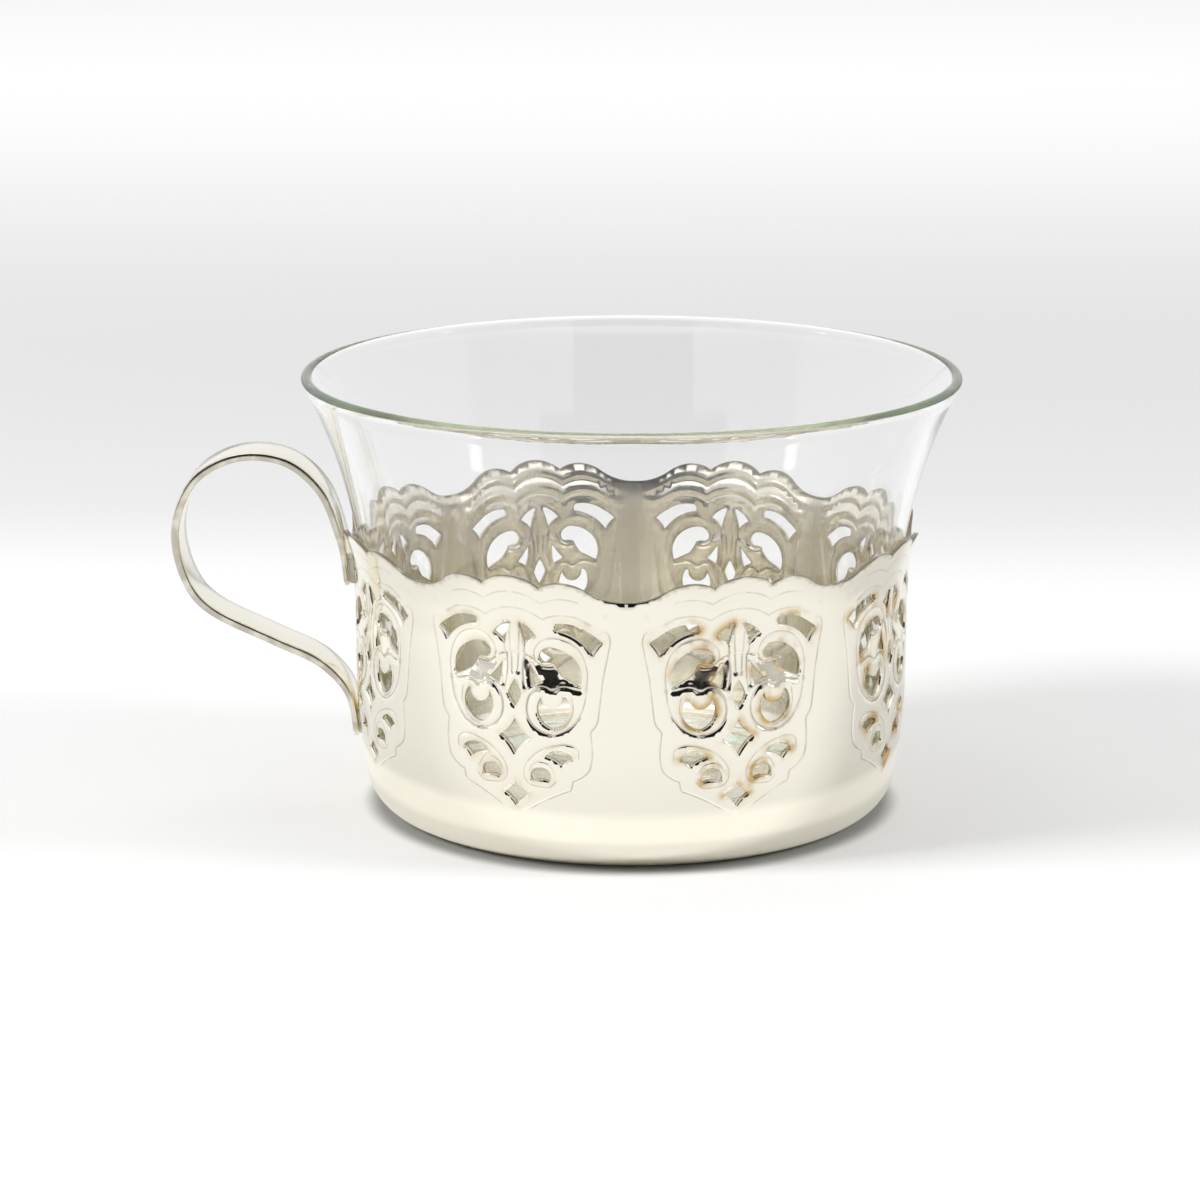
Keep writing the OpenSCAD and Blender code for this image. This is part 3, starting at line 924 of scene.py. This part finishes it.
class PODSTAKANNIK_OT_holder(bpy.types.Operator):
    """Makes the embossed, pierced sheet holder"""
    bl_idname = "podstakannik.holder"
    bl_label = "Holder"

    def execute(self, context):
        sizes = context.scene.podstakannik_holder
        sheet = shell_mesh(sizes)
        mesh = bpy.data.meshes.new("embossed_holder")
        mesh.from_pydata(sheet.points, [], sheet.faces)
        mesh.polygons.foreach_set("use_smooth", [True] * len(mesh.polygons))
        mesh.normals_split_custom_set(sheet.normals)
        for name, values in zip(("window_edge", "grime_and_shade_marks"), zip(*sheet.marks)):
            mesh.attributes.new(name, "FLOAT", "POINT").data.foreach_set("value", values)
        holder = bpy.data.objects.new("embossed_holder", mesh)
        context.collection.objects.link(holder)
        dress(holder, silver_material("silver_plate", sizes, sizes.silver, sizes.tarnish, sizes.roughness),
              silver_material("silver_plate_inside", sizes, sizes.inside, sizes.tarnish * 0.4,
                              sizes.inside_roughness, streaks=sizes.streaks))
        mesh.polygons.foreach_set("material_index", sheet.inner)
        mesh.update()
        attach(holder, "holder")
        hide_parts("holder_shell")
        return {"FINISHED"}


# The strap's middle line between its flattened ends, in shares of the handle's reach and height
STRAP = [(0.080, 0.708, 0.6), (0.167, 0.853, 1), (0.331, 0.954, 1), (0.534, 0.985, 1), (0.733, 0.958, 1),
         (0.894, 0.876, 1), (0.976, 0.721, 1), (0.928, 0.557, 1), (0.789, 0.445, 1), (0.450, 0.340, 1),
         (0.211, 0.269, 1), (0.064, 0.179, 0.6)]
HANDLE_REACH = 25.1
HANDLE_FOOT = 9.3
HANDLE_H = 40.2
UPPER_PAD = 0.532
PAD_L = 3.5
PAD_T = 0.8
STRAP_T = 1.2
STRAP_W = 8.0
STRAP_CORNER = 1.2
CARTOUCHE_T = 0.35
SOLDER_T = 0.2


def strap_line(steps=7):
    """Points of the strap's middle line, as (x, z, thickness) in mm, from its upper end to its lower one."""
    def pad(z, lift):
        return (-float(wall_radius(z)) - lift - PAD_T / 2, z, PAD_T)
    high = HANDLE_FOOT + UPPER_PAD * HANDLE_H
    knots = [pad(high, CARTOUCHE_T + SOLDER_T), pad(high + PAD_L, CARTOUCHE_T + SOLDER_T)]
    knots += [(-WALL_R - x * HANDLE_REACH, HANDLE_FOOT + z * HANDLE_H, PAD_T + t * (STRAP_T - PAD_T))
              for x, z, t in STRAP]
    knots += [pad(HANDLE_FOOT + PAD_L, SOLDER_T), pad(HANDLE_FOOT, SOLDER_T)]
    k = np.array(knots)
    return np.array([k[0], (k[0] + k[1]) / 2, *curve_through(k, steps), (k[-2] + k[-1]) / 2, k[-1]])


class PODSTAKANNIK_OT_handle(bpy.types.Operator):
    """Bends the flat strap handle and flattens its ends against the wall"""
    bl_idname = "podstakannik.handle"
    bl_label = "Handle"

    def execute(self, context):
        sizes = context.scene.podstakannik_handle
        line = strap_line()
        strap = wire("strap_handle", [(x, -STRAP_W / 2, z) for x, z, _ in line])
        mesh = strap.data
        bpy.ops.object.mode_set(mode="EDIT")
        bpy.ops.mesh.select_all(action="SELECT")
        bpy.ops.mesh.extrude_region_move(TRANSFORM_OT_translate={"value": (0, STRAP_W * MM, 0)})
        bpy.ops.mesh.select_all(action="SELECT")
        bpy.ops.mesh.normals_make_consistent(inside=False)
        bpy.ops.mesh.select_all(action="DESELECT")
        bpy.ops.object.mode_set(mode="OBJECT")
        ends = line[[0, -1]] * MM
        for v in mesh.vertices:
            v.select = bool(np.any(np.hypot(ends[:, 0] - v.co.x, ends[:, 1] - v.co.z) < 0.05 * MM))
        bpy.ops.object.mode_set(mode="EDIT")
        bpy.ops.mesh.select_mode(type="VERT")
        bpy.ops.mesh.bevel(offset=STRAP_CORNER * MM, segments=4, affect="VERTICES", clamp_overlap=True)
        bpy.ops.object.mode_set(mode="OBJECT")
        full = strap.vertex_groups.new(name="full thickness")
        for v in mesh.vertices:
            i = int(np.argmin(np.hypot(line[:, 0] * MM - v.co.x, line[:, 1] * MM - v.co.z)))
            full.add([v.index], (line[i][2] - PAD_T) / (STRAP_T - PAD_T), "REPLACE")
        wall = strap.modifiers.new("Thickness", "SOLIDIFY")
        wall.thickness = (STRAP_T - 0.04) * MM
        wall.offset = 0
        wall.use_even_offset = True
        wall.vertex_group = "full thickness"
        wall.thickness_vertex_group = PAD_T / STRAP_T
        bpy.ops.object.modifier_apply(modifier="Thickness")
        edges = strap.modifiers.new("Edges", "BEVEL")
        edges.width = sizes.edge_round
        edges.segments = 3
        edges.limit_method = "ANGLE"
        edges.angle_limit = math.radians(50)
        bpy.ops.object.modifier_apply(modifier="Edges")
        strap.vertex_groups.clear()
        close_skin(0.002, 40)
        metal = context.scene.podstakannik_holder
        dress(strap, silver_material("silver_strap", metal, sizes.silver, 0, sizes.roughness, strap=True))
        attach(strap, "holder")
        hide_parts("handle_strap")
        solder = solder_material("solder_grey")
        for node in ("upper_solder_joint", "lower_solder_joint"):
            dress(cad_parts[node], solder)
        return {"FINISHED"}


# The glass's sizes in mm: wall, height of its foot over the floor, bottom, and the rim's radius and height
GLASS_T = 1.4
GLASS_FOOT = 1.6
GLASS_BOTTOM = 3.5
RIM_R = 44.98
RIM_Z = 59.79
FLARE_BULGE = 0.112
KNEE_BULGE = 0.3


def glass_profile(bead):
    """Half the glass's section in mm, from the middle of its foot up the outside and down the inside."""
    foot_r = FOOT_R - FOOT_W - FOOT_RECESS - 1
    knee = float(wall_radius(BELLY_Z)) - SHEET_T - GLASS_GAP
    straight = WALL_R - SHEET_T - GLASS_GAP
    flare_z = FLARE_Z - 0.01
    low_rim = RIM_Z - bead / 2
    floor = GLASS_FOOT + GLASS_BOTTOM
    inner_flare = arc((RIM_R - GLASS_T, RIM_Z), (straight - GLASS_T, flare_z), FLARE_BULGE, 1.2)
    line = [(0, GLASS_FOOT + 0.6), (foot_r - 5.2, GLASS_FOOT + 0.6), (foot_r - 4.6, GLASS_FOOT + 0.5),
            (foot_r - 4.0, GLASS_FOOT + 0.06), (foot_r - 3.5, GLASS_FOOT), (foot_r - 0.6, GLASS_FOOT)]
    line += arc((foot_r, GLASS_FOOT + 0.02), (knee, BELLY_Z), KNEE_BULGE, 0.9)
    line += arc((knee, BELLY_Z), (straight, flare_z), 0, 2.0)
    line += arc((straight, flare_z), (RIM_R, low_rim), -FLARE_BULGE, 1.2)
    line += arc((RIM_R, low_rim), (RIM_R - GLASS_T - bead, low_rim), 1, 0.22)
    line += [p for p in inner_flare if p[1] < low_rim - 0.7]
    line += arc((straight - GLASS_T, flare_z), (knee - GLASS_T, BELLY_Z), 0, 2.0)
    line += arc((knee - GLASS_T, BELLY_Z), (foot_r - 1.5, floor), -KNEE_BULGE, 0.9)
    return line + [(foot_r - 1.5, floor), (foot_r - 3, floor - 0.1), (12, floor - 0.1), (0, floor - 0.1)]


class PODSTAKANNIK_OT_glass(bpy.types.Operator):
    """Spins the clear glass that stands in the holder"""
    bl_idname = "podstakannik.glass"
    bl_label = "Glass"

    def execute(self, context):
        sizes = context.scene.podstakannik_glass
        cup = wire("clear_glass_cup", [(x, 0, z) for x, z in glass_profile(sizes.bead / MM)])
        bpy.ops.object.mode_set(mode="EDIT")
        bpy.ops.mesh.select_all(action="SELECT")
        bpy.ops.mesh.spin(steps=sizes.segments, angle=2 * math.pi, center=(0, 0, 0), axis=(0, 0, 1))
        bpy.ops.object.mode_set(mode="OBJECT")
        close_skin(0.005, 45)
        dress(cup, glass_material("clear_soda_glass", sizes))
        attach(cup, "glass")
        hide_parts("glass_insert")
        return {"FINISHED"}


# How squarely on the camera's side of the object the room and the table start to turn dark, and are dark
BEHIND_CAMERA = (0.735, 0.775)


def floor_material():
    """Pale paper: white round the object with a painted shadow at its foot, painted greyer further behind as
    a shaded backdrop sweep, dark in front of the table.
    """
    made, shader, place = new_material("pale_paper", {"Roughness": 1.0, "Specular IOR Level": 0.0,
                                                      "Emission Color": (1, 1, 1, 1)})
    x, y, _ = place.axes()
    seen = source(place.tree, "LightPath", "Is Camera Ray")
    seen = seen.made("MAXIMUM", source(place.tree, "LightPath", "Is Transmission Ray"))
    unseen = seen.left()
    out = (x * x + y * y).made("SQRT")
    front = y * -1.0
    tone = y.ramp(0.10, 0.2, 1.0, 0.84) + y.ramp(0.3, 0.75, 0.0, 0.1)
    end = front.ramp(0.34, 0.5) * (front / out).ramp(*BEHIND_CAMERA)
    mirrored = end.ramp(0.0, 1.0, 0.9, 0.03) * x.ramp(0.05, 0.25, 1.0, 0.9)
    # painted shadow: a dark ring on the paper round the foot, which only the camera sees
    painted_contact_shadow = out.ramp(0.0345, 0.038, 0.35, 1.0)
    level = (tone * seen + mirrored * unseen) * painted_contact_shadow.made("MAXIMUM", unseen)
    grey = new_node(place.tree, "CombineColor", {"Red": level, "Green": level, "Blue": level})
    feed(Value(grey.outputs["Color"]), shader["Base Color"])
    # painted light: the paper glows a little round the foot where the metal mirrors it, and far behind where
    # the camera sees it
    painted_glow_round_foot = out.ramp(0.052, 0.047, 0.0, 0.16) * out.ramp(0.039, 0.043) * unseen
    painted_glow_far_behind = y.ramp(0.25, 1.0, 0.0, 0.42) * seen
    feed(painted_glow_round_foot + painted_glow_far_behind, shader["Emission Strength"])
    return made


def room_world():
    """A pale room that is dark behind the camera, as the metal mirrors it."""
    world = bpy.data.worlds.new("pale room")
    bpy.context.scene.world = world
    world.use_nodes = True
    tree = world.node_tree
    x, y, z = source(tree, "TexCoord", "Generated").axes()
    # 1 towards the camera's side of the room, 0 to the left and right, -1 behind the object
    facing = y * -1.0 / (x * x + y * y).made("SQRT")
    grey = facing.ramp(0.2, 0.42) * z.ramp(0.75, 0.5)
    dark = facing.ramp(*BEHIND_CAMERA) * z.ramp(0.42, 0.3)
    # a dark upright strip behind the camera, up to high overhead
    strip = facing.ramp(0.895, 0.905) * z.ramp(0.70, 0.66)
    tone = grey.ramp(0.0, 1.0, 0.85, 0.55) * dark.made("MAXIMUM", strip).ramp(0.0, 1.0, 1.0, 0.02)
    # a bright ceiling over the dark strip
    tone += z.ramp(0.66, 0.72) * facing.ramp(0.2, 0.4) * 0.55
    tone *= x.ramp(-0.9, 0.9, 1.06, 0.95)
    # two bright windows that the glass mirrors as white strokes
    window = facing.ramp(0.25, 0.26) * facing.ramp(0.34, 0.33) * z.ramp(0.10, 0.11) * z.ramp(0.25, 0.24)
    tone += window * 3.0
    # the metal and the glass mirror a brighter room than the one that lights the paper
    mirrored = source(tree, "LightPath", "Is Glossy Ray")
    mirrored = mirrored.made("MAXIMUM", source(tree, "LightPath", "Is Transmission Ray"))
    tone *= mirrored.ramp(0.0, 1.0, 0.54, 1.1)
    # where a low camera sees past the paper's far end, the room goes on in the paper's own tone
    seen = source(tree, "LightPath", "Is Camera Ray")
    shine = tree.nodes["Background"].inputs
    feed(tone * seen.left() + seen * 0.93, shine["Strength"])
    feed((1, 1, 1, 1), shine["Color"])


def lamp(name, place, aim, size, power):
    """A lamp that lights the scene, but isn't mirrored in it as a bright square."""
    bpy.ops.object.light_add(type="AREA", location=place)
    made = bpy.context.object
    made.name = name
    made.data.shape = "RECTANGLE"
    made.data.size, made.data.size_y = size
    made.data.energy = power
    made.visible_glossy = False
    made.visible_transmission = False
    made.rotation_euler = (Vector(aim) - Vector(place)).to_track_quat("-Z", "Y").to_euler()
    return made


class PODSTAKANNIK_OT_stage(bpy.types.Operator):
    """Lays the paper floor, and sets the lamps, the room and the camera"""
    bl_idname = "podstakannik.stage"
    bl_label = "Stage"

    def execute(self, context):
        studio = context.scene.podstakannik_studio
        bpy.ops.mesh.primitive_plane_add(size=12, location=(0, 0, 0))
        floor = context.object
        floor.name = "paper_floor"
        floor.data.transform(floor.matrix_world)
        floor.matrix_world.identity()
        floor.data.materials.append(floor_material())
        room_world()
        lamp("key lamp", (-0.75, -0.25, 0.6), (0, 0, 0.02), (0.3, 0.3), studio.key)
        lamp("fill lamp", (0.8, -0.1, 0.5), (0, 0, 0.02), (0.3, 0.3), studio.fill)
        lamp("overhead lamp", (-0.1, 0.25, 0.9), (0, 0, 0.02), (0.7, 0.5), studio.overhead)
        turn = studio.azimuth
        bpy.ops.object.camera_add(
            location=(studio.distance * math.sin(turn), -studio.distance * math.cos(turn), studio.height),
            rotation=(math.pi / 2 - studio.pitch, 0, turn + studio.yaw))
        camera = context.object
        camera.name = "camera"
        camera.data.lens = studio.lens
        camera.data.sensor_width = 36
        camera.data.clip_start = 0.01
        context.scene.camera = camera
        context.scene.view_settings.view_transform = "Standard"
        # light passes the glass and the sheet many times before it leaves the holder
        context.scene.cycles.max_bounces = 160
        context.scene.cycles.glossy_bounces = 120
        context.scene.cycles.transmission_bounces = 80
        return {"FINISHED"}


class PODSTAKANNIK_PT_sizes(bpy.types.Panel):
    """Lists the sizes and colours of the holder, its handle, its glass and the stage"""
    bl_idname = "PODSTAKANNIK_PT_sizes"
    bl_label = "Podstakannik"
    bl_space_type = "VIEW_3D"
    bl_region_type = "UI"
    bl_category = "Podstakannik"

    def draw(self, context):
        for pointer, (_, operator) in PARTS.items():
            box = self.layout.box()
            box.label(text=operator.bl_label)
            sizes = getattr(context.scene, pointer)
            for name in sizes.__annotations__:
                box.prop(sizes, name)
            box.operator(operator.bl_idname)


PARTS = {
    "podstakannik_holder": (HolderSizes, PODSTAKANNIK_OT_holder),
    "podstakannik_handle": (HandleSizes, PODSTAKANNIK_OT_handle),
    "podstakannik_glass": (GlassSizes, PODSTAKANNIK_OT_glass),
    "podstakannik_studio": (StudioSizes, PODSTAKANNIK_OT_stage),
}
CLASSES = [*(made for pair in PARTS.values() for made in pair), PODSTAKANNIK_PT_sizes]


def register():
    for made in CLASSES:
        bpy.utils.register_class(made)
    for pointer, (sizes, _) in PARTS.items():
        setattr(bpy.types.Scene, pointer, PointerProperty(type=sizes))


def unregister():
    for pointer in PARTS:
        delattr(bpy.types.Scene, pointer)
    for made in reversed(CLASSES):
        bpy.utils.unregister_class(made)


def main():
    register()
    bpy.ops.podstakannik.stage()
    bpy.ops.podstakannik.holder()
    bpy.ops.podstakannik.handle()
    bpy.ops.podstakannik.glass()


if __name__ == "__main__":
    main()
